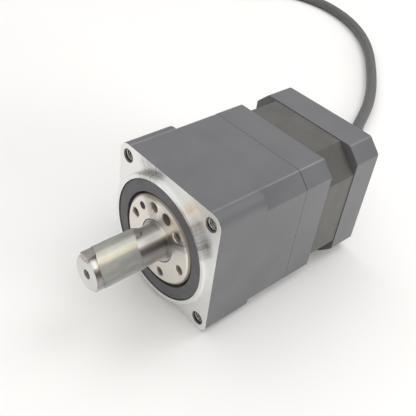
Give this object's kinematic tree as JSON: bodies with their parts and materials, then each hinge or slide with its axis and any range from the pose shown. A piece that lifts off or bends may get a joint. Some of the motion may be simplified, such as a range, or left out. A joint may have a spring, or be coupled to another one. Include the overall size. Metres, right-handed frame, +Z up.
{
  "type": "inline planetary gear reducer with motor",
  "caption": "Square inline planetary gear reducer with a keyed shaft, a bolt flange and a pilot, driven by its built-in stepping motor with a short cable.",
  "frame": {"origin": "output shaft's axis, in the plane of the mounting face", "axes": "-Y along the output shaft, out of the mounting face; +Z up, away from the side face that it lies on; +X right, seen from the front"},
  "size_m": [0.2759, 0.3477, 0.06],
  "materials": {
    "case_paint": "satin grey paint on cast aluminium; the mounting face is bare machined metal",
    "flange_steel": "fine turned",
    "shaft_steel": "ground",
    "key_steel": "drawn",
    "film": "clear film with a yellow-green tint",
    "seal_rubber": "matt",
    "laminations": "stacked sheet edges, varnished",
    "bearing_steel": "ground",
    "gear_steel": "hobbed, greased",
    "screw_steel": "black oxide",
    "spring_steel": "drawn",
    "bronze": "matt",
    "magnet": "sintered",
    "bobbin_plastic": "moulded",
    "copper_wire": "enamelled",
    "board": "solder mask",
    "cable_jacket": "matt",
    "connector_plastic": "moulded",
    "contact_brass": "plated",
    "cage_plastic": "moulded"
  },
  "bodies": {
    "motor_and_case": {"gear_case": "case_paint", "output_seal": "seal_rubber", "seal_spring": "spring_steel", "bearing_outer_ring": "bearing_steel", "bearing_retainer": "gear_steel", "ring_gear": "gear_steel", "ring_gear_pins": "bearing_steel", "case_o_ring": "seal_rubber", "front_bracket": "case_paint", "input_seal": "seal_rubber", "front_bearing_outer": "bearing_steel", "stator_core": "laminations", "coil_bobbins": "bobbin_plastic", "stator_coils": "copper_wire", "rear_cover": "case_paint", "rear_bearing_outer": "bearing_steel", "wave_washer": "spring_steel", "terminal_board": "board", "board_screws": "screw_steel", "motor_screws": "screw_steel", "cable_grommet": "seal_rubber", "motor_cable": "cable_jacket", "connector_housing": "connector_plastic", "connector_contacts": "contact_brass"},
    "output": {"output_flange": "flange_steel", "output_shaft": "shaft_steel", "shaft_key": "key_steel", "shaft_film": "film", "flange_plug": "screw_steel", "bearing_inner_ring": "bearing_steel", "inner_ring_nut": "gear_steel", "carrier_plate": "gear_steel", "carrier_screws": "screw_steel", "planet_pins": "bearing_steel", "planet_washers": "bronze"},
    "roller_train": {"crossed_rollers": "bearing_steel"},
    "rotor": {"sun_gear": "gear_steel", "motor_shaft": "shaft_steel", "rotor_cup_front": "laminations", "rotor_cup_rear": "laminations", "rotor_magnet": "magnet", "front_bearing_inner": "bearing_steel", "rear_bearing_inner": "bearing_steel"},
    "front_ball_train": {"front_bearing_balls": "bearing_steel", "front_bearing_cage": "cage_plastic"},
    "rear_ball_train": {"rear_bearing_balls": "bearing_steel", "rear_bearing_cage": "cage_plastic"},
    "planet_1": {"planet_gear_1": "gear_steel", "planet_needles_1": "bearing_steel"},
    "planet_2": {"planet_gear_2": "gear_steel", "planet_needles_2": "bearing_steel"},
    "planet_3": {"planet_gear_3": "gear_steel", "planet_needles_3": "bearing_steel"}
  },
  "joints": [
    {"name": "output_spin", "type": "hinge", "parent": "motor_and_case", "child": "output", "pos_m": [0, 0, 0], "axis": [0, -1, 0], "continuous": true},
    {"name": "rotor_spin", "type": "hinge", "parent": "motor_and_case", "child": "rotor", "pos_m": [0, 0, 0], "axis": [0, -1, 0], "continuous": true},
    {"name": "roller_orbit", "type": "hinge", "parent": "motor_and_case", "child": "roller_train", "pos_m": [0, 0, 0], "axis": [0, -1, 0], "continuous": true},
    {"name": "front_ball_orbit", "type": "hinge", "parent": "motor_and_case", "child": "front_ball_train", "pos_m": [0, 0, 0], "axis": [0, -1, 0], "continuous": true},
    {"name": "rear_ball_orbit", "type": "hinge", "parent": "motor_and_case", "child": "rear_ball_train", "pos_m": [0, 0, 0], "axis": [0, -1, 0], "continuous": true},
    {"name": "planet_1_spin", "type": "hinge", "parent": "output", "child": "planet_1", "pos_m": [0, 0.0278, 0.01238], "axis": [0, -1, 0], "continuous": true},
    {"name": "planet_2_spin", "type": "hinge", "parent": "output", "child": "planet_2", "pos_m": [-0.01072, 0.0278, -0.00619], "axis": [0, -1, 0], "continuous": true},
    {"name": "planet_3_spin", "type": "hinge", "parent": "output", "child": "planet_3", "pos_m": [0.01072, 0.0278, -0.00619], "axis": [0, -1, 0], "continuous": true}
  ],
  "couplings": [
    {"joint": "rotor_spin", "follows": "output_spin", "ratio": 5},
    {"joint": "roller_orbit", "follows": "output_spin", "ratio": 0.46625},
    {"joint": "front_ball_orbit", "follows": "output_spin", "ratio": 1.84},
    {"joint": "rear_ball_orbit", "follows": "output_spin", "ratio": 1.82},
    {"joint": "planet_1_spin", "follows": "output_spin", "ratio": -2.6667},
    {"joint": "planet_2_spin", "follows": "output_spin", "ratio": -2.6667},
    {"joint": "planet_3_spin", "follows": "output_spin", "ratio": -2.6667}
  ]
}
